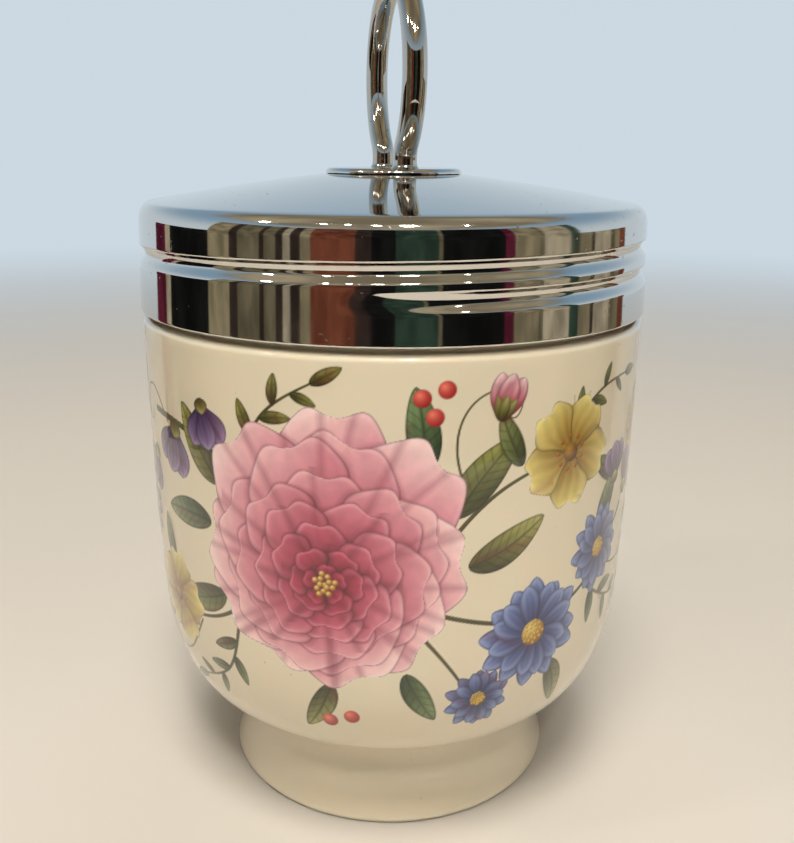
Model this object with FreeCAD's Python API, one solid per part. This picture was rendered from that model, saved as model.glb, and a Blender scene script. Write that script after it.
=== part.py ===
import FreeCAD, Part
import math
import os

from FreeCAD import Vector

# Screw-lidded porcelain egg coddler: a footed two-egg cup, and a pressed metal
# lid with a rolled screw thread and a wire lifting bow.
# Millimetres. The origin is the middle of the foot's rest face, +Z is up, and
# -Y is the front. Azimuths are degrees from the front towards +X.

# Foot of the cup
foot_radius = 26.6
foot_rest_width = 2.2
foot_edge_round = 0.9
foot_inner_round = 0.6
foot_waist_radius = 24.4
foot_waist_height = 8.2
foot_top_radius = 25.2
foot_height = 13.8
foot_wall = 3.1
recess_depth = 10.6
recess_corner = 1.0
recess_dome = 0.4

# Bowl of the cup: outer radii, and their rise above the foot
heel_radius = 31.4
heel_rise = 2.9
hip_radius = 35.2
hip_rise = 9.1
side_radius = 37.1
side_rise = 21.1
waistline_radius = 37.65
waistline_rise = 43.0
shoulder_radius = 37.8
shoulder_rise = 60.0
shoulder_round = 1.0
bowl_wall = 3.7
floor_thickness = 4.6
floor_flat_radius = 10.0

# Threaded neck of the cup
neck_radius = 36.2
neck_wall = 2.9
neck_height = 14.5
neck_root_round = 0.4
neck_blend = 3.0
rim_round = 0.8

# Screw thread: the rolled groove in the lid and the moulded ridge on the neck
thread_pitch = 3.5
thread_fade = 32.0
thread_step = 20.0
groove_width = 2.5
groove_depth = 0.7
groove_margin = 0.2
groove_rise = 6.05
groove_start = -12.0
groove_turn = 430.0
ridge_height = 0.85
ridge_round = 1.0
ridge_root = 0.5
ridge_start = -95.0
ridge_turn = 425.0

# Pressed lid
lid_radius = 38.0
skirt_height = 13.4
sheet = 0.55
lid_shoulder_round = 1.8
dome_edge_slope = 10.5
dome_rise = 4.0
land_radius = 9.6

# Sealing ring between the rim and the lid
seal_width = 2.2
seal_thickness = 0.9
seal_gap = 0.08

# Boss plate with its rivet stud, lifting bow and backing washer
plate_radius = 10.2
plate_thickness = 0.75
plate_round = 0.3
wire_diameter = 3.4
bow_radius = 12.8
bow_height = 12.95
bow_turn = 12.5
leg_spacing = 15.0
leg_bend = 3.0
leg_gap = 0.02
stud_radius = 2.0
stud_clearance = 0.05
clinch_radius = 3.1
clinch_height = 1.0
clinch_round = 0.6
washer_radius = 6.5
washer_thickness = 0.8
seat_gap = 0.02

# Heights and radii that follow from the sizes above
ledge_z = foot_height + shoulder_rise + shoulder_round
rim_z = ledge_z + neck_height
neck_inner = neck_radius - neck_wall
seal_z = rim_z + seal_gap
seal_middle = neck_radius - neck_wall / 2
seal_outer = seal_middle + seal_width / 2
seal_inner = seal_middle - seal_width / 2

slope = math.radians(dome_edge_slope)
skirt_inner = lid_radius - sheet
turn_radius = lid_radius - lid_shoulder_round
under_round = lid_shoulder_round - sheet
under_edge = turn_radius + under_round * math.sin(slope)
under_rise = under_round * math.cos(slope) + (under_edge - seal_outer) * math.tan(slope)
turn_z = seal_z + seal_thickness + seal_gap - under_rise
hem_z = turn_z - skirt_height
dome_edge = turn_radius + lid_shoulder_round * math.sin(slope)
dome_edge_z = turn_z + lid_shoulder_round * math.cos(slope)
land_z = dome_edge_z + dome_rise
plate_top = land_z + plate_thickness
bow_z = plate_top + bow_height
washer_z = land_z - sheet - seat_gap - washer_thickness
clinch_z = washer_z - seat_gap - clinch_height
leg_offset = leg_spacing / 2

groove_section = (groove_width ** 2 / 4 + groove_depth ** 2) / (2 * groove_depth)
groove_z = hem_z + groove_rise
ridge_z = groove_z + thread_pitch / 2


def rz(radius, height):
    """Point of a turned profile, drawn in the XZ plane."""
    return Vector(radius, 0, height)


def line(a, b):
    return Part.makeLine(a, b)


def arc(centre, radius, from_deg, to_deg):
    """Arc in the XZ plane, counted from +X towards +Z."""
    ends = []
    for deg in (from_deg, (from_deg + to_deg) / 2, to_deg):
        a = math.radians(deg)
        ends.append(centre + Vector(radius * math.cos(a), 0, radius * math.sin(a)))
    return Part.Arc(*ends).toShape()


def smooth(points):
    """Smooth curve through the points of a profile."""
    curve = Part.BSplineCurve()
    curve.interpolate(Points=points)
    return curve


def turned(edges):
    """Solid of revolution of a closed profile about the Z axis."""
    face = Part.Face(Part.Wire(edges))
    return face.revolve(Vector(0, 0, 0), Vector(0, 0, 1), 360)


def azimuth(radius, degrees, height):
    """Point at an azimuth counted from the front, -Y, towards +X."""
    a = math.radians(degrees)
    return Vector(radius * math.sin(a), -radius * math.cos(a), height)


def fade(turned_by, total):
    """1 along the thread, easing to 0 over thread_fade at both of its ends."""
    t = min(turned_by, total - turned_by) / thread_fade
    t = max(0.0, min(1.0, t))
    return t * t * (3 - 2 * t)


def thread_roll(crest_radius, back_radius, section_radius, front_z, start, total):
    """Bar along the thread's helix, with a round crest and a flat back.

    At both ends it retreats from its crest until the crest is past the back.
    """
    side = 1 if crest_radius > back_radius else -1
    centre = crest_radius - side * section_radius
    half = math.sqrt(section_radius ** 2 - (back_radius - centre) ** 2)
    count = math.ceil(total / thread_step)
    points = []
    for i in range(count + 1):
        turned_by = total * i / count
        retreat = (crest_radius - back_radius) * (1 - fade(turned_by, total))
        height = front_z + thread_pitch * (start + turned_by) / 360
        points.append(azimuth(centre - retreat, start + turned_by, height))
    outward = Vector(points[0].x, points[0].y, 0).normalize()
    back = points[0] + outward * (back_radius - centre)
    upper = back + Vector(0, 0, half)
    lower = back - Vector(0, 0, half)
    crest = points[0] + outward * (crest_radius - centre)
    section = Part.Wire([Part.Arc(upper, crest, lower).toShape(), line(lower, upper)])
    return Part.Wire(smooth(points).toShape()).makePipeShell([section], True, True)


def tangent_arc(a, direction, b):
    """Arc from a to b that leaves a along the given direction."""
    chord = b - a
    normal = Vector(-direction.z, 0, direction.x)
    side = chord.dot(normal)
    radius = chord.Length ** 2 / (2 * side)
    centre = a + normal * radius
    middle = (a + b) * 0.5 - centre
    middle.normalize()
    return centre, abs(radius), centre + middle * abs(radius)


def bowl_outline():
    points = [
        rz(foot_top_radius, foot_height),
        rz(heel_radius, foot_height + heel_rise),
        rz(hip_radius, foot_height + hip_rise),
        rz(side_radius, foot_height + side_rise),
        rz(waistline_radius, foot_height + waistline_rise),
        rz(shoulder_radius, foot_height + shoulder_rise),
    ]
    return smooth(points)


def bowl_lining(outline):
    """Inner profile: the outline moved in by the wall, closed by the floor."""
    floor_z = recess_depth + recess_dome + floor_thickness
    top = outline.parameter(rz(waistline_radius, foot_height + waistline_rise))
    points = [rz(floor_flat_radius, floor_z)]
    for share in (0.08, 0.2, 0.36, 0.6, 1.0):
        u = outline.FirstParameter + (top - outline.FirstParameter) * share
        along = outline.tangent(u)[0]
        points.append(outline.value(u) + Vector(-along.z, 0, along.x) * bowl_wall)
    points.append(rz(neck_inner, ledge_z - neck_blend))
    return smooth(points)


def make_cup():
    outline = bowl_outline()
    lining = bowl_lining(outline)
    waist = rz(foot_waist_radius, foot_waist_height)
    foot_side = smooth(
        [rz(foot_radius, foot_edge_round), waist, rz(foot_top_radius, foot_height)]
    )
    rest_outer = foot_radius - foot_edge_round
    rest_inner = rest_outer - foot_rest_width
    foot_inner = rest_inner - foot_inner_round
    recess_radius = foot_waist_radius - foot_wall
    ceiling_edge = rz(recess_radius - recess_corner, recess_depth)
    ceiling_top = rz(0, recess_depth + recess_dome)
    ceiling = tangent_arc(ceiling_top, Vector(1, 0, 0), ceiling_edge)
    rim_outer = neck_radius - rim_round
    rim_inner = neck_inner + rim_round
    root = rz(neck_radius + neck_root_round, ledge_z + neck_root_round)
    ledge_edge = shoulder_radius - shoulder_round
    edges = [
        Part.Arc(ceiling_top, ceiling[2], ceiling_edge).toShape(),
        arc(rz(recess_radius - recess_corner, recess_depth - recess_corner), recess_corner, 90, 0),
        line(rz(recess_radius, recess_depth - recess_corner), rz(foot_inner, foot_inner_round)),
        arc(rz(rest_inner, foot_inner_round), foot_inner_round, 180, 270),
        line(rz(rest_inner, 0), rz(rest_outer, 0)),
        arc(rz(rest_outer, foot_edge_round), foot_edge_round, 270, 360),
        foot_side.toShape(),
        outline.toShape(),
    ]
    edges += [
        arc(rz(ledge_edge, ledge_z - shoulder_round), shoulder_round, 0, 90),
        line(rz(ledge_edge, ledge_z), rz(root.x, ledge_z)),
        arc(root, neck_root_round, 270, 180),
        line(rz(neck_radius, root.z), rz(neck_radius, rim_z - rim_round)),
        arc(rz(rim_outer, rim_z - rim_round), rim_round, 0, 90),
        line(rz(rim_outer, rim_z), rz(rim_inner, rim_z)),
        arc(rz(rim_inner, rim_z - rim_round), rim_round, 90, 180),
        line(rz(neck_inner, rim_z - rim_round), rz(neck_inner, ledge_z - neck_blend)),
        lining.toShape(),
        line(lining.StartPoint, rz(0, lining.StartPoint.z)),
        line(rz(0, lining.StartPoint.z), ceiling_top),
    ]
    ridge = thread_roll(
        neck_radius + ridge_height, neck_radius - ridge_root,
        ridge_round, ridge_z, ridge_start, ridge_turn,
    )
    return turned(edges).fuse(ridge)


def stud_bore(low, high):
    """Tool for the bore that the rivet stud passes through."""
    return Part.makeCylinder(stud_radius + stud_clearance, high - low, Vector(0, 0, low))


def make_lid_shell():
    """Pressed shell: the grooved outer form less its inner form, a sheet inside."""
    hem_round = sheet / 2
    under_land_z = land_z - sheet
    edge = rz(dome_edge, dome_edge_z)
    rising = Vector(-math.cos(slope), 0, math.sin(slope))
    dome_centre, dome_radius, dome_middle = tangent_arc(edge, rising, rz(land_radius, land_z))
    inward = Vector(-math.sin(slope), 0, -math.cos(slope))
    deeper = sheet if dome_centre.z < edge.z else -sheet
    under_middle = dome_middle + (dome_centre - dome_middle).normalize() * deeper
    under_start = edge + inward * sheet
    under_land = rz(land_radius, under_land_z)
    turn = rz(turn_radius, turn_z)
    outer_form = turned([
        line(rz(0, hem_z), rz(0, land_z)),
        line(rz(0, land_z), rz(land_radius, land_z)),
        Part.Arc(rz(land_radius, land_z), dome_middle, edge).toShape(),
        arc(turn, lid_shoulder_round, 90 - dome_edge_slope, 0),
        line(rz(lid_radius, turn_z), rz(lid_radius, hem_z + hem_round)),
        arc(rz(lid_radius - hem_round, hem_z + hem_round), hem_round, 0, -90),
        line(rz(lid_radius - hem_round, hem_z), rz(0, hem_z)),
    ])
    inner_form = turned([
        line(rz(0, hem_z - hem_round), rz(0, under_land_z)),
        line(rz(0, under_land_z), under_land),
        Part.Arc(under_land, under_middle, under_start).toShape(),
        arc(turn, under_round, 90 - dome_edge_slope, 0),
        line(rz(skirt_inner, turn_z), rz(skirt_inner, hem_z + hem_round)),
        arc(rz(lid_radius - hem_round, hem_z + hem_round), hem_round, 180, 270),
        line(rz(lid_radius - hem_round, hem_z), rz(lid_radius - hem_round, hem_z - hem_round)),
        line(rz(lid_radius - hem_round, hem_z - hem_round), rz(0, hem_z - hem_round)),
    ])
    outside = thread_roll(
        lid_radius - groove_depth, lid_radius + groove_margin,
        groove_section, groove_z, groove_start, groove_turn,
    )
    inside = thread_roll(
        skirt_inner - groove_depth, skirt_inner + groove_margin,
        groove_section + sheet, groove_z, groove_start, groove_turn,
    )
    shell = outer_form.cut(outside).cut(inner_form.cut(inside))
    return shell.cut(stud_bore(under_land_z - 1, land_z + 1))


def make_sealing_ring():
    ring = Part.makeCylinder(seal_outer, seal_thickness, Vector(0, 0, seal_z))
    return ring.cut(Part.makeCylinder(seal_inner, seal_thickness, Vector(0, 0, seal_z)))


def make_boss_plate():
    """Turned plate with the stud that is passed through the lid and clinched."""
    low = land_z + seat_gap
    plate_edge = plate_radius - plate_round
    clinch_edge = clinch_radius - clinch_round
    return turned([
        line(rz(0, clinch_z), rz(clinch_edge, clinch_z)),
        arc(rz(clinch_edge, clinch_z + clinch_round), clinch_round, 270, 360),
        line(rz(clinch_radius, clinch_z + clinch_round), rz(clinch_radius, clinch_z + clinch_height)),
        line(rz(clinch_radius, clinch_z + clinch_height), rz(stud_radius, clinch_z + clinch_height)),
        line(rz(stud_radius, clinch_z + clinch_height), rz(stud_radius, low)),
        line(rz(stud_radius, low), rz(plate_radius, low)),
        line(rz(plate_radius, low), rz(plate_radius, plate_top - plate_round)),
        arc(rz(plate_edge, plate_top - plate_round), plate_round, 0, 90),
        line(rz(plate_edge, plate_top), rz(0, plate_top)),
        line(rz(0, plate_top), rz(0, clinch_z)),
    ])


def make_lifting_bow():
    """Round wire loop on two turned-down legs, which stand on the boss plate."""
    bend_x = leg_offset + leg_bend
    reach = bow_radius + leg_bend
    drop = math.sqrt(reach ** 2 - bend_x ** 2)
    low = plate_top + leg_gap
    meet = math.degrees(math.atan2(-drop, bend_x))
    legs = []
    for side in (1, -1):
        leg_top = rz(side * leg_offset, bow_z - drop)
        bend = rz(side * bend_x, bow_z - drop)
        touch = rz(0, bow_z) + rz(side * bend_x, -drop) * (bow_radius / reach)
        towards_leg = Vector(-side, 0, 0)
        towards_loop = (touch - bend).normalize()
        knee = bend + (towards_leg + towards_loop).normalize() * leg_bend
        leg = line(rz(side * leg_offset, low), leg_top)
        legs.append((leg, Part.Arc(leg_top, knee, touch).toShape()))
    loop = arc(rz(0, bow_z), bow_radius, meet, 180 - meet)
    route = Part.Wire([legs[0][0], legs[0][1], loop, legs[1][1], legs[1][0]])
    foot = Part.Circle(rz(leg_offset, low), Vector(0, 0, 1), wire_diameter / 2)
    bow = route.makePipeShell([Part.Wire(foot.toShape())], True, False)
    bow.rotate(Vector(0, 0, 0), Vector(0, 0, 1), bow_turn - 90)
    return bow


def make_backing_washer():
    washer = Part.makeCylinder(washer_radius, washer_thickness, Vector(0, 0, washer_z))
    return washer.cut(stud_bore(washer_z - 1, washer_z + washer_thickness + 1))


def main():
    os.makedirs("parts", exist_ok=True)
    pieces = {
        "cup": make_cup(),
        "lid_shell": make_lid_shell(),
        "sealing_ring": make_sealing_ring(),
        "boss_plate": make_boss_plate(),
        "lifting_bow": make_lifting_bow(),
        "backing_washer": make_backing_washer(),
    }
    for name, shape in pieces.items():
        box = shape.BoundBox
        print(name, "solids", len(shape.Solids), "valid", shape.isValid(),
              "volume", round(shape.Volume, 1), "z", round(box.ZMin, 2), round(box.ZMax, 2),
              "radius", round(box.XMax, 2))
        shape.exportStep("parts/" + name + ".step")


main()
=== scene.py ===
# %% [markdown]
# # A porcelain egg coddler with a screw-on metal lid
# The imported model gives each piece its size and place. This lesson dresses it: the
# same forms are made again with fine meshes, and each gets its real finish. All
# lengths are in metres, so sizes are written in millimetres and multiplied by mm.

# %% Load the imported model
import math
import random

import bpy
import numpy as np
from mathutils import Matrix, Vector


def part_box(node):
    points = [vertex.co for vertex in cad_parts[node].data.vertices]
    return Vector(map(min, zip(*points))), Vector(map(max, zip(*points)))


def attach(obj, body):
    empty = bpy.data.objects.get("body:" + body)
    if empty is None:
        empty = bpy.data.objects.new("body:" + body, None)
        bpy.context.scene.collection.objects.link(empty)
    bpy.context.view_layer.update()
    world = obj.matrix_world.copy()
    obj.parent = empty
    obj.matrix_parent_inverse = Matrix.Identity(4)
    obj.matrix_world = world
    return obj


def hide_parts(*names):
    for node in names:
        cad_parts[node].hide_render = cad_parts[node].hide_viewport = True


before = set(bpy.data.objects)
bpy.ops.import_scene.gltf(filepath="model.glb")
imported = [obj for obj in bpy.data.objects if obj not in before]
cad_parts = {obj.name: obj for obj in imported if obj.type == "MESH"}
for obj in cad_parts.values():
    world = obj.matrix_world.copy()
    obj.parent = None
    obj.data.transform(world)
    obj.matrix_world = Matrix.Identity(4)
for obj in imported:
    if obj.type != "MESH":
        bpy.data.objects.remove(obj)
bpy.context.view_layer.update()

mm = 0.001

# %% [markdown]
# ## The camera
# A photograph fixes the camera's place, its tilt and its field of view. They were
# worked out from the ellipses of the lid and the foot. A camera could also be set by
# eye, but then no edge of the render can be trusted. Blender wants the lens as a
# focal length for a 36 mm wide sensor, so the one measured in pixels is converted.

# %% Camera
picture_width = 794
sensor_width = 36
focal_pixels = 921.6
camera_place = Vector((0, -143.62, 97.55)) * mm
tilt, swing, roll = (math.radians(a) for a in (16.19, -0.33, 0.49))

ahead = Vector((
    -math.sin(swing) * math.cos(tilt), math.cos(swing) * math.cos(tilt), -math.sin(tilt),
))
level = Vector((math.cos(swing), math.sin(swing), 0))
above = level.cross(ahead)
across = level * math.cos(roll) + above * math.sin(roll)
upward = above * math.cos(roll) - level * math.sin(roll)

camera_data = bpy.data.cameras.new("camera")
camera_data.sensor_fit = "HORIZONTAL"
camera_data.sensor_width = sensor_width
camera_data.lens = focal_pixels * sensor_width / picture_width
camera_data.clip_start = 0.005
camera_data.clip_end = 50
camera = bpy.data.objects.new("camera", camera_data)
bpy.context.scene.collection.objects.link(camera)
turn = Matrix((across, upward, -ahead)).transposed().to_4x4()
camera.matrix_world = Matrix.Translation(camera_place) @ turn
bpy.context.scene.camera = camera
bpy.context.scene.view_settings.view_transform = "Standard"
print("lens, mm:", round(camera_data.lens, 2))

# %% [markdown]
# ## Writing nodes as sums
# A material or a geometry tree is a page of arithmetic. Made node by node, ten lines
# of code hide one line of sums. The class Wire wraps one socket, so that plain Python
# signs between wires add the Math nodes. The class Net adds every other node: its type
# first, then its settings, then its sockets.

# %% Wires and nets


class Wire:
    """An output socket that can be used in sums."""

    def __init__(self, net, socket):
        self.net = net
        self.socket = socket

    def __add__(self, other):
        return self.net.maths("ADD", self, other)

    def __sub__(self, other):
        return self.net.maths("SUBTRACT", self, other)

    def __mul__(self, other):
        return self.net.maths("MULTIPLY", self, other)

    def __truediv__(self, other):
        return self.net.maths("DIVIDE", self, other)

    def __radd__(self, other):
        return self.net.maths("ADD", other, self)

    def __rsub__(self, other):
        return self.net.maths("SUBTRACT", other, self)

    def __rmul__(self, other):
        return self.net.maths("MULTIPLY", other, self)

    def __rtruediv__(self, other):
        return self.net.maths("DIVIDE", other, self)


class Net:
    """Adds nodes to a tree and hands back their outputs as wires."""

    def __init__(self, tree):
        self.tree = tree

    def add(self, kind, settings=None, sockets=None):
        node = self.tree.nodes.new(kind)
        for name, value in (settings or {}).items():
            setattr(node, name, value)
        for key, value in (sockets or {}).items():
            if isinstance(value, Wire):
                self.tree.links.new(value.socket, node.inputs[key])
            else:
                node.inputs[key].default_value = value
        return [Wire(self, socket) for socket in node.outputs]

    def named(self, kind, settings=None, sockets=None):
        """The same, with each output under its name."""
        return {wire.socket.name: wire for wire in self.add(kind, settings, sockets)}

    def maths(self, operation, *values):
        return self.add("ShaderNodeMath", {"operation": operation}, dict(enumerate(values)))[0]

    def added(self, first, second):
        return self.add("ShaderNodeVectorMath", {"operation": "ADD"}, {0: first, 1: second})[0]

    def scaled(self, vector, factor):
        sockets = {0: vector, "Scale": factor}
        return self.add("ShaderNodeVectorMath", {"operation": "SCALE"}, sockets)[0]

    def parts(self, place):
        """x, y and z of a place, and its distance from the axis."""
        x, y, z = self.add("ShaderNodeSeparateXYZ", None, {0: place})
        return x, y, z, self.maths("SQRT", x * x + y * y)

    def blend(self, share, first, second):
        sockets = {0: share, 6: first, 7: second}
        return self.add("ShaderNodeMix", {"data_type": "RGBA"}, sockets)[2]

    def step(self, value, low, high):
        """0 below low, 1 above high, smooth between them."""
        sockets = {0: value, 1: low, 2: high}
        return self.add("ShaderNodeMapRange", {"interpolation_type": "SMOOTHSTEP"}, sockets)[0]

    def noise(self, where, scale, detail=2.0, rough=0.5):
        sockets = {"Vector": where, "Scale": scale, "Detail": detail, "Roughness": rough}
        return self.add("ShaderNodeTexNoise", None, sockets)[0]

    def bump(self, height):
        """A normal for a height in metres."""
        sockets = {"Strength": 1.0, "Distance": 1.0, "Height": height}
        return self.add("ShaderNodeBump", None, sockets)[0]


print("Wire turns + - * / into Math nodes")

# %% [markdown]
# ## Floor, backdrop and light
# The object stands on a plain pale floor. A photographer would use a roll of paper
# that curves up behind. Here a flat floor fades into the colour behind it, which
# leaves the horizon soft from any side. The world is a soft even light, and its own
# colour is shown only to the camera and to mirror-like surfaces, so a pale background
# costs no extra light on the object.

# %% Floor and world


def material(name):
    """An empty material and the net of its tree."""
    made = bpy.data.materials.new(name)
    made.use_nodes = True
    made.node_tree.nodes.clear()
    return made, Net(made.node_tree)


def mesh_object(name, points, faces, finish):
    data = bpy.data.meshes.new(name)
    data.from_pydata([tuple(p) for p in points], [], faces)
    data.validate()
    made = bpy.data.objects.new(name, data)
    bpy.context.scene.collection.objects.link(made)
    data.materials.append(finish)
    return made


def shown_to_mirrors(net):
    """1 for rays from the camera, and for those that a mirror or glass sends on."""
    ray = net.named("ShaderNodeLightPath")
    sent_on = net.maths("MAXIMUM", ray["Is Glossy Ray"], ray["Is Transmission Ray"])
    return net.maths("MAXIMUM", ray["Is Camera Ray"], sent_on)


backdrop_colour = (0.60, 0.69, 0.76, 1)
floor_finish, net = material("floor_paper")
where = net.add("ShaderNodeTexCoord")[3]
distance = net.add("ShaderNodeVectorMath", {"operation": "LENGTH"}, {0: where})[1]
paper = net.blend(net.noise(where, 3.0), (0.60, 0.56, 0.50, 1), (0.64, 0.60, 0.535, 1))
shine = net.add("ShaderNodeBsdfPrincipled", None, {"Base Color": paper, "Roughness": 0.75})[0]
far = net.add("ShaderNodeEmission", None, {0: backdrop_colour, 1: 1.0})[0]
share = net.step(distance, 0.16, 0.95) * shown_to_mirrors(net)
shine = net.add("ShaderNodeMixShader", None, {0: share, 1: shine, 2: far})[0]
net.add("ShaderNodeOutputMaterial", None, {0: shine})
floor_half = 4.0
corners = [(x * floor_half, y * floor_half, 0) for x, y in ((-1, -1), (1, -1), (1, 1), (-1, 1))]
floor = mesh_object("floor", corners, [(0, 1, 2, 3)], floor_finish)

world = bpy.data.worlds.new("studio")
world.use_nodes = True
world.node_tree.nodes.clear()
bpy.context.scene.world = world
net = Net(world.node_tree)
height = net.add("ShaderNodeSeparateXYZ", None, {0: net.add("ShaderNodeTexCoord")[0]})[2]
sky = net.blend(net.step(height, 0.12, 0.62), backdrop_colour, (0.25, 0.38, 0.52, 1))
light = net.add("ShaderNodeBackground", None, {0: (1.0, 0.95, 0.88, 1), 1: 0.11})[0]
shown = net.add("ShaderNodeBackground", None, {0: sky, 1: 1.0})[0]
both = net.add("ShaderNodeMixShader", None, {0: shown_to_mirrors(net), 1: light, 2: shown})[0]
net.add("ShaderNodeOutputWorld", None, {0: both})
print("floor, m across:", 2 * floor_half, "nodes in the world:", len(world.node_tree.nodes))

# %% [markdown]
# A large soft lamp high above the camera lights the bowl and leaves the foot in its
# shade, and a weaker one fills the right. Small round lamps overhead give the metal
# its sparkle. A mirror shows only what is around it. A picture of a room would serve,
# but needs a file, so upright cards stand beyond the camera, as they are set round
# silverware in a studio. Only mirror-like surfaces see them. The large lamps are
# hidden from mirrors, or they would show as wide white bars in the metal.

# %% Lamps
large_lamp = 0.1


def lamp(name, place, target, size, watts, colour=(1, 0.95, 0.88)):
    data = bpy.data.lights.new(name, "AREA")
    data.shape = "DISK"
    data.size = size
    data.energy = watts
    data.color = colour
    made = bpy.data.objects.new(name, data)
    bpy.context.scene.collection.objects.link(made)
    aim = (Vector(target) - Vector(place)).to_track_quat("-Z", "Y").to_matrix().to_4x4()
    made.matrix_world = Matrix.Translation(place) @ aim
    made.visible_glossy = size < large_lamp


centre = (0, 0, 0.06)
lamp("key_lamp", (-0.02, -0.37, 0.95), centre, 0.36, 8.4)
lamp("fill_lamp", (0.7, -0.55, 0.6), centre, 0.5, 0.5, (0.92, 0.96, 1))
lamp("top_lamp", (0.1, 0.45, 0.95), centre, 0.6, 1.7)
spark_plan = [
    (-67, 0.60, 0.62, 0.05), (-37, 0.62, 0.78, 0.034), (-24, 0.66, 0.84, 0.03),
    (-8, 0.62, 0.74, 0.034), (8, 0.60, 0.72, 0.085), (38, 0.66, 0.76, 0.026),
]
for i, (azimuth, reach, height, size) in enumerate(spark_plan):
    a = math.radians(azimuth)
    place = (reach * math.sin(a), -reach * math.cos(a), height)
    lamp("spark_lamp_%d" % i, place, centre, size, 210 * size ** 2)
print("lamps:", len(bpy.data.lights))

# %% Cards
card_colours = {
    "tan": (0.25, 0.21, 0.13), "sand": (0.36, 0.31, 0.22), "olive": (0.14, 0.12, 0.075),
    "black": (0.008, 0.008, 0.008), "brown": (0.035, 0.024, 0.02), "brick": (0.16, 0.05, 0.028),
    "green": (0.028, 0.05, 0.036), "wine": (0.10, 0.014, 0.03),
}


def card(name, points, colour, grain=38.0, fade=None):
    """Mottled card that only mirrors see. One with a fade thins out away from its middle."""
    finish, net = material(name)
    where = net.add("ShaderNodeTexCoord")[3]
    cloud = net.step(net.noise(where, grain, 4.0, 0.6), 0.34, 0.68)
    tone = net.blend(cloud, (*(0.62 * c for c in colour), 1), (*(1.3 * c for c in colour), 1))
    glow = net.add("ShaderNodeEmission", None, {0: tone, 1: 1.0})[0]
    if fade:
        middle, near, far = fade
        away = net.add("ShaderNodeVectorMath", {"operation": "DISTANCE"}, {0: where, 1: middle})[1]
        clear = net.add("ShaderNodeBsdfTransparent")[0]
        sockets = {0: net.step(away, near, far), 1: glow, 2: clear}
        glow = net.add("ShaderNodeMixShader", None, sockets)[0]
    net.add("ShaderNodeOutputMaterial", None, {0: glow})
    made = mesh_object(name, points, [(0, 1, 2, 3)], finish)
    made.visible_camera = False
    made.visible_diffuse = False
    made.visible_shadow = False
    made.visible_transmission = False


card_plan = [
    (-115, "wine"), (-106, "sand"), (-102, "black"), (-77, "tan"), (-66, "brown"), (-62, "olive"),
    (-52, "brown"), (-50, "olive"), (-45, "brown"), (-42, "sand"), (-39, "brown"), (-35, "tan"),
    (-31, "brick"), (-14, "brown"), (-8, "black"), (1, "green"), (17, "olive"), (18.5, "black"),
    (43, "wine"), (47, "tan"), (58, "olive"), (60, "sand"), (73, "green"), (78, "tan"),
    (85, "brown"), (87, "sand"), (98, "olive"), (101, "tan"), (105, "brick"), (110, ""),
]
card_reach = 0.21
for i, ((start, tone), (end, _)) in enumerate(zip(card_plan, card_plan[1:])):
    tall = 0.19 if abs(start + end) < 160 else 0.10
    a, b = math.radians(start), math.radians(end)
    (x0, y0), (x1, y1) = ((card_reach * math.sin(c), -card_reach * math.cos(c)) for c in (a, b))
    upright = [(x0, y0, 0), (x1, y1, 0), (x1, y1, tall), (x0, y0, tall)]
    card("card_%d" % i, upright, card_colours[tone])
ceiling = [(x, y, 1.0) for x, y in ((-1.4, -1.8), (1.4, -1.8), (1.4, 1.0), (-1.4, 1.0))]
card("card_ceiling", ceiling, (0.33, 0.28, 0.19), grain=1.3, fade=((0, -0.4, 1.0), 0.9, 1.38))
print("upright cards:", len(card_plan) - 1)

# %% [markdown]
# ## Turned forms
# The cup, the lid, the plate and the rings were all thrown, pressed or turned round
# one axis. Each is drawn as half a section, a list of radius and height, and spun
# by code into a closed mesh. A Screw modifier would spin it too, but leaves its seam
# and its pole to be merged. A smooth curve through a few points is a natural spline,
# the same kind that a flexible drawing strip gives.

# %% Half sections


def arc(centre, radius, start, end, count):
    """Points of an arc, degrees counted from outwards to upwards."""
    angles = np.radians(np.linspace(start, end, count))
    return [(centre[0] + radius * math.cos(a), centre[1] + radius * math.sin(a)) for a in angles]


def spline(points, count):
    """Natural cubic spline through the points, evenly read."""
    p = np.array(points, float)
    t = np.concatenate([[0], np.cumsum(np.hypot(*np.diff(p, axis=0).T))])
    h = np.diff(t)
    n = len(p)
    rows = np.eye(n)
    right = np.zeros((n, 2))
    for i in range(1, n - 1):
        rows[i, i - 1:i + 2] = h[i - 1], 2 * (h[i - 1] + h[i]), h[i]
        right[i] = 6 * ((p[i + 1] - p[i]) / h[i] - (p[i] - p[i - 1]) / h[i - 1])
    m = np.linalg.solve(rows, right)
    made = []
    for s in np.linspace(0, t[-1], count):
        i = min(int(np.searchsorted(t, s, "right")) - 1, n - 2)
        a, b = (t[i + 1] - s) / h[i], (s - t[i]) / h[i]
        bent = ((a ** 3 - a) * m[i] + (b ** 3 - b) * m[i + 1]) * h[i] ** 2 / 6
        made.append(tuple(a * p[i] + b * p[i + 1] + bent))
    return made


def run(start, end, count):
    """Evenly spaced points of a straight side."""
    return [tuple(p) for p in np.linspace(start, end, count)]


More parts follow.
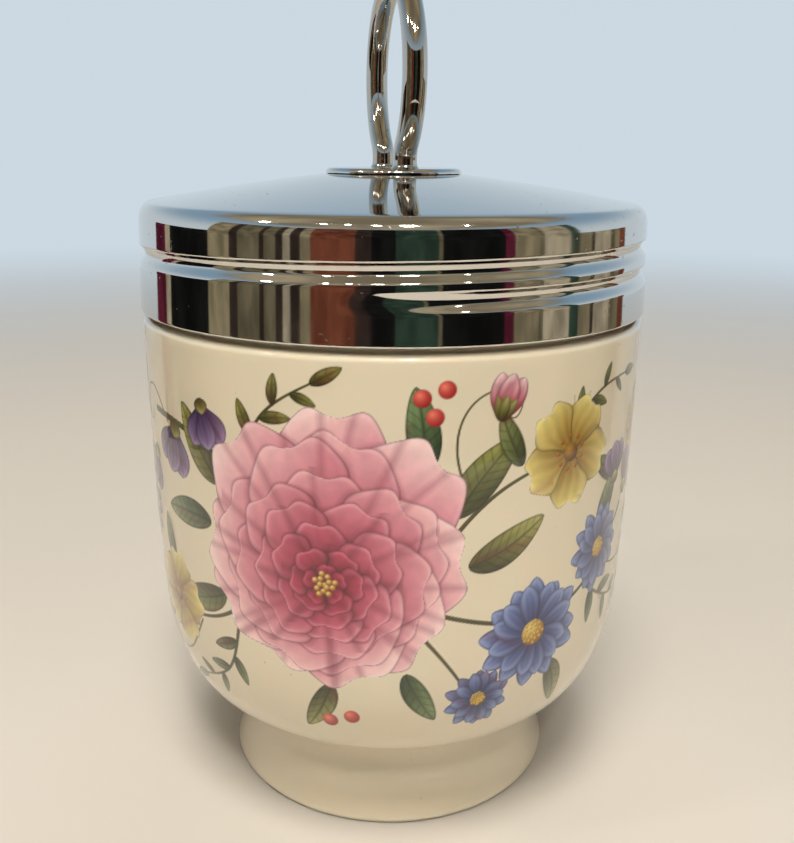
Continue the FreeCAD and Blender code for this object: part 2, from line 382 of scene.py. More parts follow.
def turned(name, section, segments, closed, finish, crisp=35):
    """Spins a half section, in mm. A closed one is a ring, an open one ends on the axis."""
    line = [section[0]]
    for p in section[1:]:
        if math.dist(p, line[-1]) > 1e-4:
            line.append(p)
    if closed and math.dist(line[0], line[-1]) < 1e-4:
        line.pop()
    angles = np.arange(segments) * 2 * math.pi / segments
    points, rows = [], []
    for r, z in line:
        if r < 1e-6:
            rows.append([len(points)] * segments)
            points.append((0, 0, z * mm))
        else:
            rows.append(list(range(len(points), len(points) + segments)))
            points += [(r * mm * math.sin(a), -r * mm * math.cos(a), z * mm) for a in angles]
    faces = []
    for i in range(len(rows) if closed else len(rows) - 1):
        low, high = rows[i], rows[(i + 1) % len(rows)]
        for k in range(segments):
            n = (k + 1) % segments
            corners = [low[k], low[n], high[n], high[k]]
            faces.append([c for j, c in enumerate(corners) if c != corners[j - 1]])
    made = mesh_object(name, points, faces, finish)
    made.data.shade_smooth()
    made.data.set_sharp_from_angle(angle=math.radians(crisp))
    print(name, "faces", len(faces))
    return made


# %% [markdown]
# ## The rolled thread as geometry nodes
# A screw thread is a rule, not a drawing: at each place round the axis it stands one
# pitch higher after one turn. A boolean with a coiled tube would cut one too, with torn
# edges in such thin sheet. Geometry nodes can read every point's place, work out
# how far it is from the thread's centre line, and move it in or out. The roller leaves
# a crisp upper edge and a soft lower one, so the upper half of the profile is a
# parabola and the lower half a wave, and the skew leans both. The same tree rolls the
# groove into the sheet of the lid and raises the ridge on the neck.

# %% Thread tree


def open_tree(name, inputs, output):
    """A tree with inputs of the kinds given and one output, its net, and its inputs as wires."""
    tree = bpy.data.node_groups.new(name, "GeometryNodeTree")
    for title, kind in inputs.items():
        tree.interface.new_socket(title, in_out="INPUT", socket_type="NodeSocket" + kind)
    tree.interface.new_socket(output, in_out="OUTPUT", socket_type="NodeSocketGeometry")
    net = Net(tree)
    return tree, net, net.add("NodeGroupInput")[:-1]


def close_tree(net, shape, finish):
    """Real geometry in place of instances, then the finish, then the output."""
    single = net.add("GeometryNodeRealizeInstances", None, {0: shape})[0]
    sockets = {"Geometry": single, "Material": finish}
    net.add("NodeGroupOutput", None, {0: net.add("GeometryNodeSetMaterial", None, sockets)[0]})


def thread_tree(finish):
    numbers = ("Pitch", "Depth", "Half width", "Skew", "Front height",
               "Start", "Turned", "Fade", "Nearest")
    inputs = {"Piece": "Geometry", **dict.fromkeys(numbers, "Float")}
    tree, net, wires = open_tree("rolled_thread", inputs, "Piece")
    piece, pitch, depth, half, skew, front, start, total, fade, nearest = wires
    x, y, z, radius = net.parts(net.add("GeometryNodeInputPosition")[0])
    azimuth = net.maths("ARCTAN2", x, 0 - y) * (180 / math.pi)
    wanted = (z - front) / pitch * 360
    whole = azimuth + net.maths("ROUND", (wanted - azimuth) / 360) * 360
    off = (z - front - pitch * whole / 360) / half
    past = whole - start
    end = net.step(net.maths("MINIMUM", past, total - past) / fade, 0.0, 1.0)
    leant = (off - skew) / (1 - skew * off)
    within = net.maths("MINIMUM", net.maths("MAXIMUM", leant, -1.0), 1.0)
    soft = 0.5 + 0.5 * net.maths("COSINE", within * math.pi)
    upper = net.maths("GREATER_THAN", leant, 0.0)
    rolled = soft + upper * (1 - within * within - soft)
    mask = net.maths("GREATER_THAN", radius, nearest)
    scale = 1 + depth * rolled * end * mask / radius
    moved = net.add("ShaderNodeCombineXYZ", None, {0: x * scale, 1: y * scale, 2: z})[0]
    shaped = net.add("GeometryNodeSetPosition", None, {"Geometry": piece, "Position": moved})[0]
    close_tree(net, shaped, finish)
    return tree


def settle(piece, tree, sizes):
    """Runs a node tree on a piece and keeps what it makes as a plain mesh."""
    step = piece.modifiers.new("shape", "NODES")
    step.node_group = tree
    for entry in tree.interface.items_tree:
        if entry.in_out == "INPUT" and entry.name in sizes:
            step[entry.identifier] = sizes[entry.name]
    graph = bpy.context.evaluated_depsgraph_get()
    shaped = piece.evaluated_get(graph)
    made = bpy.data.meshes.new_from_object(shaped, preserve_all_data_layers=True, depsgraph=graph)
    piece.modifiers.clear()
    piece.data = made
    print(piece.name, "points", len(made.vertices), "faces", len(made.polygons))


# %% [markdown]
# ## Glazed porcelain
# Porcelain is a warm white body under clear glass. One glossy shader would look like
# plastic. So the body scatters light a little below its surface, and the glaze is a
# coat over it, a sharp mirror for lamps. The glaze is
# never quite flat, and pools a touch greyer in corners. The ring that the foot
# stands on is wiped clean before firing, so it is matt.

# %% Porcelain finish
porcelain_cream = (0.78, 0.69, 0.515, 1)
foot_top = 13.9


def porcelain(name, printed=False):
    finish, net = material(name)
    where = net.add("ShaderNodeTexCoord")[3]
    x, y, z, radius = net.parts(where)
    cloud = net.noise(where, 40.0, 3.0)
    body = net.blend(cloud * 0.5, porcelain_cream, (0.745, 0.65, 0.47, 1))
    pooled = net.step(net.maths("ABSOLUTE", z - foot_top * mm), 1.6 * mm, 0.2 * mm)
    pooled = pooled * net.step(radius, 27 * mm, 25 * mm)
    body = net.blend(pooled * 0.35, body, (0.58, 0.50, 0.38, 1))
    speck = net.step(net.noise(where, 1300.0, 0.0), 0.82, 0.86)
    speck = speck * net.step(net.noise(where, 130.0, 0.0), 0.60, 0.68)
    body = net.blend(speck * 0.4, body, (0.22, 0.16, 0.10, 1))
    bare = net.step(z, 0.55 * mm, 0.25 * mm) * net.step(radius, 20 * mm, 22 * mm)
    body = net.blend(bare, body, (0.62, 0.57, 0.50, 1))
    if printed:
        ink = net.add("ShaderNodeAttribute", {"attribute_name": "ink"})[0]
        cover = net.add("ShaderNodeAttribute", {"attribute_name": "cover"})[2]
        wash = 1 + (net.noise(where, 700.0, 3.0) - 0.5) * 0.22
        body = net.blend(cover, body, net.scaled(ink, wash))
    ripple = net.noise(where, 90.0, 1.0) + net.noise(where, 600.0, 1.0) * 0.06
    grain = net.noise(where, 5000.0, 2.0) * bare
    shine = net.add("ShaderNodeBsdfPrincipled", {"subsurface_method": "RANDOM_WALK"}, {
        "Base Color": body, "Roughness": 0.32 + bare * 0.4,
        "Coat Weight": 1 - bare, "Coat Roughness": 0.03, "Coat IOR": 1.5,
        "Subsurface Weight": 0.12, "Subsurface Scale": 1.5 * mm,
        "Normal": net.bump((ripple * 0.02 + grain * 0.03) * mm),
    })[0]
    net.add("ShaderNodeOutputMaterial", None, {0: shine})
    return finish


glaze = porcelain("glazed_porcelain")
print("nodes in the glaze:", len(glaze.node_tree.nodes))

# %% [markdown]
# ## The cup
# Foot, bowl, set-back neck and rim are one casting. The outline below starts under
# the foot, climbs the outside, goes over the rim and comes down the inside. The inside
# isn't drawn again: it is the outside moved in by one wall, as slip sets in a mould.

# %% Cup
bowl_wall = 3.7
bowl_points = [(25.2, 13.8), (31.4, 16.7), (35.2, 22.9), (37.1, 34.9), (37.65, 56.8), (37.8, 73.8)]
outline = spline(bowl_points, 90)
steps = np.gradient(np.array(outline), axis=0)
normals = np.stack([-steps[:, 1], steps[:, 0]], 1) / np.hypot(*steps.T)[:, None]
lined = np.array(outline) + normals * bowl_wall
inside = [tuple(p) for p in lined if p[0] > 24 and p[1] < 62]
lining = spline([(10, 15.6), (19, 16.8)] + inside[::6] + [(33.3, 71.8)], 46)
cup_section = (
    arc((0, -204.1), 215.1, 90, 84.6, 8) + arc((20.3, 9.6), 1.0, 90, 0, 7)
    + run((21.3, 9.6), (22.9, 0.6), 8) + arc((23.5, 0.6), 0.6, 180, 270, 6)
    + arc((25.7, 0.9), 0.9, 270, 360, 8) + spline([(26.6, 0.9), (24.4, 8.2), (25.2, 13.8)], 26)
    + outline + arc((36.8, 73.8), 1.0, 0, 90, 8) + arc((36.6, 75.2), 0.4, 270, 180, 5)
    + run((36.2, 75.2), (36.2, 88.5), 50) + arc((35.4, 88.5), 0.8, 0, 90, 7)
    + arc((34.1, 88.5), 0.8, 90, 180, 7) + run((33.3, 88.5), (33.3, 71.8), 10)
    + lining[::-1] + run((10, 15.6), (0, 15.6), 6)
)
hem_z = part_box("lid_shell")[0].z / mm
thread = {"Pitch": 3.5 * mm, "Fade": 32.0}
cup = turned("cup_glazed", cup_section, 320, False, glaze)
settle(cup, thread_tree(glaze), {
    **thread, "Depth": 0.75 * mm, "Half width": 1.2 * mm, "Skew": 0.0,
    "Front height": (hem_z + 7.0) * mm, "Start": -95.0, "Turned": 425.0, "Nearest": 35.9 * mm,
})
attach(cup, "cup")
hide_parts("cup")

# %% [markdown]
# ## Polished plated metal
# A perfect mirror looks drawn. Plating is a mirror with a history: polishing leaves
# fine lines that run round the axis, handling leaves faint smears, and steam leaves
# small dull spots. All of it is in the roughness, a very shallow bump and a slight
# change of colour, and one function makes it for each piece of metal.

# %% Plated finish


def plated(name, tint, lines=1.0, spots=1.0, smear=0.07):
    finish, net = material(name)
    where = net.add("ShaderNodeTexCoord")[3]
    x, y, z, radius = net.parts(where)
    angle = net.maths("ARCTAN2", y, x)
    sockets = {0: radius * 9000, 1: z * 9000, 2: angle * 1.5}
    rings = net.add("ShaderNodeCombineXYZ", None, sockets)[0]
    polish = net.noise(rings, 1.0, 3.0, 0.7)
    film = net.noise(where, 55.0, 4.0, 0.6)
    fleck = net.step(net.noise(where, 1500.0, 1.0), 0.70, 0.78)
    fleck = fleck * net.step(net.noise(where, 90.0, 2.0), 0.48, 0.62)
    colour = net.blend(fleck * (0.45 * spots), tint, (0.30, 0.25, 0.20, 1))
    dull = 0.035 + net.step(film, 0.45, 0.75) * smear
    dull = dull + fleck * (0.35 * spots) + polish * (0.03 * lines)
    wave = net.noise(where, 28.0, 1.0)
    shine = net.add("ShaderNodeBsdfPrincipled", None, {
        "Base Color": colour, "Metallic": 1.0, "Roughness": dull,
        "Normal": net.bump((wave * 0.012 + polish * (0.00022 * lines)) * mm),
    })[0]
    net.add("ShaderNodeOutputMaterial", None, {0: shine})
    return finish


lid_plating = plated("lid_plating", (0.72, 0.70, 0.66, 1))
plate_plating = plated("plate_plating", (0.70, 0.68, 0.64, 1), lines=3.0)
wire_plating = plated("wire_plating", (0.56, 0.52, 0.46, 1), lines=0.4, spots=1.6)
washer_sheet = plated("washer_sheet", (0.56, 0.55, 0.53, 1), smear=0.3)
print("nodes in the lid's plating:", len(lid_plating.node_tree.nodes))

# %% [markdown]
# ## The pressed lid
# One disc of thin sheet is drawn into a shallow dome with a skirt, its hem is rolled
# under, and the thread is rolled into the skirt against a former. So the inside
# carries the same form as the outside, one thickness further in. A Solidify modifier
# gives that too, but no round hem. So the section runs over the dome, down the skirt,
# round the hem and back up inside, and the tree above rolls both walls at once.

# %% Lid shell
lid_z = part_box("lid_shell")[1].z / mm
dome_slope = math.radians(10.5)
turn_z = hem_z + 13.4
skirt_top, hem_radius = 37.55, 38.0
sheet_thick = 0.55
shoulder_round = 1.8
land_radius, stud_hole = 9.6, 2.05


def dome(start, end, count):
    """Arc that leaves start at the dome's slope and ends at end."""
    a, b = np.array(start), np.array(end)
    normal = np.array([-math.sin(dome_slope), -math.cos(dome_slope)])
    reach = (b - a) @ (b - a) / (2 * (b - a) @ normal)
    middle = a + normal * reach
    side = 0 if reach > 0 else 180
    first, last = (
        math.degrees(math.atan2(*(p - middle)[::-1] * np.sign(reach))) + side for p in (a, b)
    )
    return arc(middle, abs(reach), first, last, count)


def shoulder(radius, count):
    """Quarter of an oval, taller than it is wide, from the dome's slope to the skirt."""
    centre = (skirt_top - shoulder_round, turn_z)
    return [(r, skirt_z + (z - turn_z) * (radius + 0.9) / radius)
            for r, z in arc(centre, radius, 83, 0, count)]


skirt_z = turn_z - 0.91
hem_round = sheet_thick / 2
hem_middle = hem_z + hem_round
under_z = lid_z - sheet_thick
inner_round = shoulder_round - sheet_thick
outer_edge = shoulder(shoulder_round, 2)[0]
inner_edge = shoulder(inner_round, 2)[0]
lid_section = (
    run((stud_hole, lid_z), (land_radius, lid_z), 8)
    + dome(outer_edge, (land_radius, lid_z), 30)[::-1] + shoulder(shoulder_round, 12)
    + run((skirt_top, skirt_z), (hem_radius, hem_middle), 84)
    + arc((hem_radius - hem_round, hem_middle), hem_round, 0, -180, 9)
    + run((hem_radius - sheet_thick, hem_middle), (skirt_top - sheet_thick, skirt_z), 84)
    + shoulder(inner_round, 8)[::-1] + dome(inner_edge, (land_radius, under_z), 20)
    + run((land_radius, under_z), (stud_hole, under_z), 6)
    + run((stud_hole, under_z), (stud_hole, lid_z), 2)
)
lid = turned("lid_pressed", lid_section, 360, True, lid_plating)
settle(lid, thread_tree(lid_plating), {
    **thread, "Depth": -0.8 * mm, "Half width": 1.45 * mm, "Skew": 0.08,
    "Front height": (hem_z + 5.1) * mm, "Start": -12.0, "Turned": 480.0, "Nearest": 36.9 * mm,
})
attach(lid, "lid")
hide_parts("lid_shell")

# %% [markdown]
# ## The boss plate and its stud
# A turned disc lies on the flat middle of the lid. Its stud goes through the lid and
# is clinched over a washer inside, which spreads the pull of a full cup. Disc and stud
# could be two cylinders. They are one section, because the lathe made them in one.

# %% Boss plate
plate_low = lid_z + 0.02
stud_low, plate_top = (corner.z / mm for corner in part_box("boss_plate"))
plate_radius, plate_round = 10.2, 0.7
stud, clinch, clinch_round = 2.0, 3.1, 0.6
clinch_z = stud_low + 1
plate_section = (
    [(0, stud_low)]
    + arc((clinch - clinch_round, stud_low + clinch_round), clinch_round, 270, 360, 8)
    + run((clinch, clinch_z), (stud, clinch_z), 3) + run((stud, clinch_z), (stud, plate_low), 4)
    + run((stud, plate_low), (plate_radius, plate_low), 6)
    + arc((plate_radius - plate_round, plate_top - plate_round), plate_round, 0, 90, 12)
    + run((plate_radius - plate_round, plate_top), (0, plate_top), 10)
)
plate = turned("boss_turned", plate_section, 160, False, plate_plating, crisp=50)
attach(plate, "lid")
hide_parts("boss_plate")

# %% Backing washer
low, high = (corner.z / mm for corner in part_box("backing_washer"))
edge, edge_round = 6.3, 0.2
washer_section = (
    run((stud_hole, low), (edge, low), 5) + arc((edge, low + edge_round), edge_round, 270, 360, 4)
    + arc((edge, high - edge_round), edge_round, 0, 90, 4) + run((edge, high), (stud_hole, high), 5)
)
washer = turned("washer_turned", washer_section, 128, True, washer_sheet)
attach(washer, "washer")
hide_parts("backing_washer")

# %% [markdown]
# ## The sealing ring
# A flat ring of grey rubber lies on the rim and keeps the water out. It shows only
# when the lid is off. Moulded rubber is dull and a little dusty, and its edges are
# never sharp, so its section is a rectangle with four small arcs. A Bevel modifier
# would do, but it isn't needed where the section is drawn anyway.

# %% Sealing ring
ring_finish, net = material("seal_ring_rubber")
where = net.add("ShaderNodeTexCoord")[3]
dust = net.noise(where, 300.0, 4.0)
grey = net.blend(dust, (0.42, 0.40, 0.37, 1), (0.56, 0.54, 0.50, 1))
shine = net.add("ShaderNodeBsdfPrincipled", None, {
    "Base Color": grey, "Roughness": 0.55 + dust * 0.3,
    "Normal": net.bump(net.noise(where, 4000.0) * 0.02 * mm),
})[0]
net.add("ShaderNodeOutputMaterial", None, {0: shine})
ring_round = 0.15
inner, outer = 33.8, 35.7
low, high = (corner.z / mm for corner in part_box("sealing_ring"))
low, high = low + ring_round, high - ring_round
ring_section = (
    run((inner - ring_round, low), (inner - ring_round, high), 2)
    + arc((inner, high), ring_round, 180, 90, 4)
    + arc((outer, high), ring_round, 90, 0, 4) + arc((outer, low), ring_round, 0, -90, 4)
    + arc((inner, low), ring_round, 270, 180, 4)
)
ring = turned("seal_moulded", ring_section[::-1], 200, True, ring_finish)
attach(ring, "seal")
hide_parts("sealing_ring")

# %% [markdown]
# ## The lifting bow
# Round wire is bent to a loop, turned down into two legs, and brazed to the plate.
# A torus with two cylinders would show where they join, and wire has no joint. A tube
# along a path is what Curve to Mesh does. The path's points carry their own radius, so
# the braze at each foot flares out.

# %% Bow path
wire_radius = 1.7
loop_radius, leg_offset, leg_bend = 12.8, 7.5, 3.0
bow_turn = 12.5
loop_z = plate_top + 12.95
bend_x = leg_offset + leg_bend
reach = loop_radius + leg_bend
drop = math.sqrt(reach ** 2 - bend_x ** 2)
meet = math.degrees(math.atan2(-drop, bend_x))
foot_z = plate_top + 0.02
leg = run((leg_offset, foot_z), (leg_offset, loop_z - drop), 16)[:-1]
bend = arc((bend_x, loop_z - drop), leg_bend, 180, 180 + meet, 14)[:-1]
right_side = leg + bend
loop = arc((0, loop_z), loop_radius, meet, 180 - meet, 120)
path = right_side + loop + [(-x, z) for x, z in right_side[::-1]]
spin = math.radians(bow_turn - 90)
points = [(x * mm * math.cos(spin), x * mm * math.sin(spin), z * mm) for x, z in path]
radii = [
    wire_radius * (1 + 0.2 * math.exp(-(z - foot_z) / 0.3)) if abs(x) < 7.6 else wire_radius
    for x, z in path
]
print("wire, mm long:", round(sum(math.dist(a, b) for a, b in zip(path, path[1:])), 1))

# %% Tube tree


def wire_tree(finish):
    tree, net, (edge, sides) = open_tree("bent_wire", {"Path": "Geometry", "Sides": "Int"}, "Wire")
    curve = net.add("GeometryNodeMeshToCurve", None, {0: edge})[0]
    sockets = {"Name": "thick"}
    thick = net.add("GeometryNodeInputNamedAttribute", {"data_type": "FLOAT"}, sockets)[0]
    curve = net.add("GeometryNodeSetCurveRadius", None, {"Curve": curve, "Radius": thick})[0]
    sockets = {"Resolution": sides, "Radius": 1.0}
    circle = net.add("GeometryNodeCurvePrimitiveCircle", None, sockets)[0]
    sockets = {"Curve": curve, "Profile Curve": circle, "Scale": thick, "Fill Caps": True}
    tube = net.add("GeometryNodeCurveToMesh", None, sockets)[0]
    close_tree(net, net.add("GeometryNodeSetShadeSmooth", None, {0: tube})[0], finish)
    return tree


data = bpy.data.meshes.new("bow_wire")
data.from_pydata(points, [(i, i + 1) for i in range(len(points) - 1)], [])
data.attributes.new("thick", "FLOAT", "POINT").data.foreach_set("value", [r * mm for r in radii])
wire = bpy.data.objects.new("bow_wire", data)
bpy.context.scene.collection.objects.link(wire)
settle(wire, wire_tree(wire_plating), {"Sides": 36})
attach(wire, "lid")
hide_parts("lifting_bow")

# %% [markdown]
# ## Printed flowers
# Ware like this is decorated with a transfer: a picture is printed flat, slid on to
# the glaze, and fired until it sinks in. An image texture would need a picture file,
# and this print stays in the model itself. The same order is kept here. A sheet is a
# fine flat grid that holds a colour and a cover at each crossing, and the brushes
# below lay petals, leaves and stems over each other on it. All places are in mm:
# along the girth from the middle of the front, and up from the table.

# %% Paint sheet
paint_step = 0.15


class Sheet:
    """Flat sheet of paint."""

    def __init__(self, left, bottom, right, top):
        self.x = np.arange(left, right, paint_step)
        self.y = np.arange(bottom, top, paint_step)
        self.ink = np.zeros((len(self.y), len(self.x), 3))
        self.cover = np.zeros((len(self.y), len(self.x)))

    def window(self, x, y, reach):
        """The crossings near a place, and their distances from it."""
        left, right = np.searchsorted(self.x, (x - reach, x + reach))
        low, high = np.searchsorted(self.y, (y - reach, y + reach))
        gx, gy = np.meshgrid(self.x[left:right] - x, self.y[low:high] - y)
        return np.s_[low:high, left:right], gx, gy

    def lay(self, part, colour, alpha):
        """Paints over what is there, from 0 for nothing to 1 for opaque."""
        total = alpha + self.cover[part] * (1 - alpha)
        share = np.divide(alpha, total, out=np.zeros_like(total), where=total > 1e-6)[..., None]
        self.ink[part] = self.ink[part] * (1 - share) + colour * share
        self.cover[part] = total

    def bleed(self):
        """Carries each ink a little past its edge, or the edge would blend with black."""
        wet = self.cover > 0.02
        for _ in range(3):
            total, count = np.zeros_like(self.ink), np.zeros(wet.shape)
            for axis, way in ((0, 1), (0, -1), (1, 1), (1, -1)):
                near = np.roll(wet, way, axis)
                total += np.roll(self.ink, way, axis) * near[..., None]
                count += near
            fresh = ~wet & (count > 0)
            self.ink[fresh] = total[fresh] / count[fresh][:, None]
            wet |= fresh


# %% [markdown]
# One brush does most of the work. A petal has a base, a direction and a length; its
# half width swells and closes along it, and `belly` says how near the tip it is
# widest. Colour runs from deep at the base to pale at the tip, one side catches the
# light, thin veins run out from the base, and a finer, darker line follows the edge.
# A leaf is the same with a middle rib and side ribs.

# %% Brushes


def shade(deep, pale, share):
    share = np.clip(share, 0, 1)[..., None]
    return np.array(deep) * (1 - share) + np.array(pale) * share


def petal(sheet, x, y, turn, length, width, deep, pale, belly=1.2, bend=0.0, ruffle=0.0,
          veins=0.14, rib=0.0, line=0.30, shadow=0.0, light=0.35):
    part, gx, gy = sheet.window(x, y, length + width)
    a = math.radians(turn)
    along = (gx * math.sin(a) + gy * math.cos(a)) / length
    side = gx * math.cos(a) - gy * math.sin(a) - bend * length * np.clip(along, 0, 1) ** 2
    tone = np.clip(along, 0, 1)
    along = along * (1 + ruffle * np.cos(side / width * 12 + x * 3))
    v = np.clip(along, 0, 1)
    half = width / 2 * np.sin(math.pi * v ** belly) ** 0.62
    inside = half - np.abs(side)
    if shadow:
        soft = np.clip((inside + 0.9) / 1.8, 0, 1) * (along > 0) * shadow
        sheet.lay(part, np.array(deep) * 0.62, soft * (sheet.cover[part] > 0.5))
    alpha = np.clip(inside / paint_step + 0.5, 0, 1) * ((along > 0) & (along < 1))
    across = side / (half + 0.25)
    colour = shade(deep, pale, tone ** 1.25 - light * across * (0.6 - 0.3 * tone))
    stripe = 0.5 + 0.5 * np.sin(across * 13 + 1.8 * np.sin(tone * 5 + x))
    colour = colour * (1 - veins * stripe * (1 - tone * 0.7))[..., None]
    edge = np.exp(-((inside - 0.05) / 0.2) ** 2) * line
    glow = np.exp(-((inside - 0.7) / 0.45) ** 2) * v ** 2 * 0.22 * (rib == 0)
    colour = colour * (1 - edge)[..., None] + (1 - colour) * glow[..., None]
    if rib:
        middle = np.exp(-(side / 0.17) ** 2)
        branch = np.exp(-((np.mod(v * length - np.abs(side) * 0.9, 1.5) - 0.75) / 0.16) ** 2)
        colour = colour * (1 - rib * np.maximum(middle, branch * 0.6))[..., None]
    sheet.lay(part, colour, alpha)


def dot(sheet, x, y, radius, deep, pale):
    part, gx, gy = sheet.window(x, y, radius + 0.4)
    far = np.hypot(gx, gy)
    lit = 1 - np.hypot(gx + radius * 0.3, gy - radius * 0.35) / (radius * 1.3)
    sheet.lay(part, shade(deep, pale, lit), np.clip((radius - far) / paint_step + 0.5, 0, 1))


def stem(sheet, points, width, colour, end=0.5):
    """A drawn line through the points, that thins towards its end."""
    length = sum(math.dist(a, b) for a, b in zip(points, points[1:]))
    places = spline(points, max(12, int(length / 0.14)))
    for i, (x, y) in enumerate(places):
        wide = width * (1 - (1 - end) * i / len(places))
        part, gx, gy = sheet.window(x, y, wide + 0.3)
        lit = 0.5 - gx / wide * 0.5 + gy / wide * 0.3
        alpha = np.clip((wide / 2 - np.hypot(gx, gy)) / paint_step + 0.5, 0, 1)
        sheet.lay(part, shade(np.array(colour) * 0.72, np.array(colour) * 1.2, lit), alpha)


# %% [markdown]
# The flowers are a full double bloom, starry daisies, five-petalled cups, hanging
# bells and buds. Each is a few calls of the petal brush, outermost first, and chance
# turns and stretches them a little. The seed is fixed, so they open the same each time.

# %% Flowers
chance = random.Random(11)
olive, moss = (0.29, 0.28, 0.10), (0.70, 0.68, 0.36)
rose_deep, rose_pale = (0.68, 0.15, 0.29), (0.98, 0.83, 0.82)
heart_deep, heart_pale = (0.36, 0.02, 0.10), (0.68, 0.14, 0.27)
blue_deep, blue_pale = (0.13, 0.16, 0.36), (0.46, 0.54, 0.76)
plum_deep, plum_pale = (0.23, 0.14, 0.31), (0.57, 0.48, 0.64)
gold_deep, gold_pale = (0.56, 0.41, 0.10), (0.93, 0.86, 0.52)
golden_angle = 137.5


def bloom(sheet, x, y, size):
    """Double bloom that faces up and forward: near petals look shorter."""
    rings = [(1.0, 9, 0.86), (0.86, 8, 0.80), (0.70, 8, 0.66), (0.54, 7, 0.52),
             (0.40, 6, 0.40), (0.27, 6, 0.27), (0.16, 5, 0.16)]
    for k, (reach, count, wide) in enumerate(rings):
        mix = k / (len(rings) - 1)
        deep = shade(rose_deep, heart_deep, mix)
        pale = shade(rose_pale, heart_pale, mix)
        for j in range(count):
            a = 360 * (j + 0.5 * (k % 2)) / count + chance.uniform(-7, 7)
            lean = 1 + 0.16 * math.cos(math.radians(a)) * (1 - mix)
            petal(sheet, x, y - size * 0.10 * mix, a,
                  size * reach * lean * chance.uniform(0.94, 1.05), size * wide, deep, pale,
                  belly=1.9, bend=chance.uniform(-0.12, 0.12), ruffle=0.05, shadow=0.42, veins=0.09)
    for j in range(14):
        a, r = math.radians(j * golden_angle), size * 0.012 * j ** 0.5 * 2
        dot(sheet, x + r * math.sin(a), y - size * 0.1 + r * math.cos(a), 0.42,
            (0.55, 0.30, 0.05), gold_pale)


def daisy(sheet, x, y, size, deep=blue_deep, pale=blue_pale, count=12):
    for k, reach in enumerate((1.0, 0.86)):
        for j in range(count):
            a = 360 * (j + 0.5 * k) / count + chance.uniform(-5, 5)
            petal(sheet, x, y, a, size * reach * chance.uniform(0.92, 1.05), size * 0.42,
                  deep, pale, belly=1.5, bend=chance.uniform(-0.08, 0.08), shadow=0.3, veins=0.2)
    dot(sheet, x, y, size * 0.23, (0.55, 0.35, 0.05), gold_pale)
    for j in range(22):
        a, r = math.radians(j * golden_angle), size * 0.046 * j ** 0.5
        dot(sheet, x + r * math.sin(a), y + r * math.cos(a), 0.24,
            (0.62, 0.40, 0.06), (0.98, 0.90, 0.45))


def cup_flower(sheet, x, y, size, deep=gold_deep, pale=gold_pale):
    first = chance.uniform(0, 72)
    for j in range(5):
        petal(sheet, x, y, first + 72 * j, size * chance.uniform(0.93, 1.05), size * 0.98,
              deep, pale, belly=1.9, ruffle=0.07, shadow=0.35)
    dot(sheet, x, y, size * 0.17, (0.35, 0.22, 0.08), (0.75, 0.55, 0.18))
    for j in range(9):
        a = math.radians(40 * j + first)
        dot(sheet, x + size * 0.30 * math.sin(a), y + size * 0.30 * math.cos(a), 0.3,
            (0.45, 0.20, 0.05), (0.85, 0.5, 0.15))


def bell(sheet, x, y, turn, size, deep=plum_deep, pale=plum_pale):
    a = math.radians(turn)
    for side in (-28, 28, 0):
        petal(sheet, x, y, turn + side, size, size * 0.62, deep, pale,
              belly=1.7, shadow=0.35, veins=0.24)
    petal(sheet, x - 0.6 * math.sin(a), y - 0.6 * math.cos(a), turn, size * 0.34, size * 0.42,
          olive, moss, belly=0.9)


def bud(sheet, x, y, turn, size):
    for side in (-16, 16, 0):
        petal(sheet, x, y, turn + side, size, size * 0.5, rose_deep, rose_pale,
              belly=1.2, shadow=0.35)
    for side in (-24, 24, 0):
        petal(sheet, x, y, turn + side, size * 0.55, size * 0.24, olive, moss,
              belly=0.9, shadow=0.2)


def leaf(sheet, x, y, turn, length, bend=0.15, green=0.0):
    deep = shade(olive, (0.20, 0.30, 0.20), green)
    pale = shade(moss, (0.48, 0.60, 0.42), green)
    petal(sheet, x, y, turn, length, length * 0.40, deep, pale,
          belly=0.85, bend=bend, rib=0.34, line=0.4, shadow=0.3, light=0.7)


def spray(sheet, points, size, count=6, green=0.0):
    """A twig with small leaves on both sides and one at its end."""
    places = spline(points, count + 2)
    stem(sheet, points, 0.55, olive)
    for i in range(1, count + 1):
        (x0, y0), (x, y) = places[i - 1], places[i]
        heading = math.degrees(math.atan2(x - x0, y - y0))
        turn = heading + (48 if i % 2 else -48)
        leaf(sheet, x, y, turn, size * (1.1 - 0.4 * i / count), 0.12, green)
    (x0, y0), (x, y) = places[-2:]
    leaf(sheet, x, y, math.degrees(math.atan2(x - x0, y - y0)), size * 0.9, 0.0, green)


print("deep inks:", rose_deep, blue_deep, plum_deep, gold_deep)


# %% [markdown]
# The posy on the front hangs on one long curved stem. Stems and leaves go down
# first, then the small flowers, and the full bloom last, left of the middle. A
# smaller posy is on the back, and a twig on each side.

# %% Front posy
front = Sheet(-54, 20, 54, 74)
for width, places in [
        (0.9, [(-40, 63), (-27, 61), (-12, 50), (8, 40), (25, 38), (41, 49)]),
        (0.7, [(4, 46), (14, 57), (24, 60.5)]),
        (0.7, [(-16, 44), (-26, 36), (-36, 34)]),
        (0.6, [(2, 40), (9, 31), (12, 26)]),
        (0.35, [(10, 56), (8, 64), (12, 70), (16.5, 69), (15.5, 66.5), (13.8, 67.5)]),
        (0.35, [(-36, 62), (-43, 66), (-46, 62.5), (-43.6, 60.5), (-42.6, 62.4)]),
        (0.35, [(33, 43), (44, 40), (49, 44), (46.6, 47), (44.8, 45)]),
        (0.35, [(-30, 34), (-40, 26), (-45, 29), (-43, 32)])]:
    stem(front, places, width, olive)
spray(front, [(-20, 58), (-17, 66), (-10, 71)], 5.2, 5)
spray(front, [(30, 40), (39, 35), (46, 34)], 5.4, 5, 0.6)
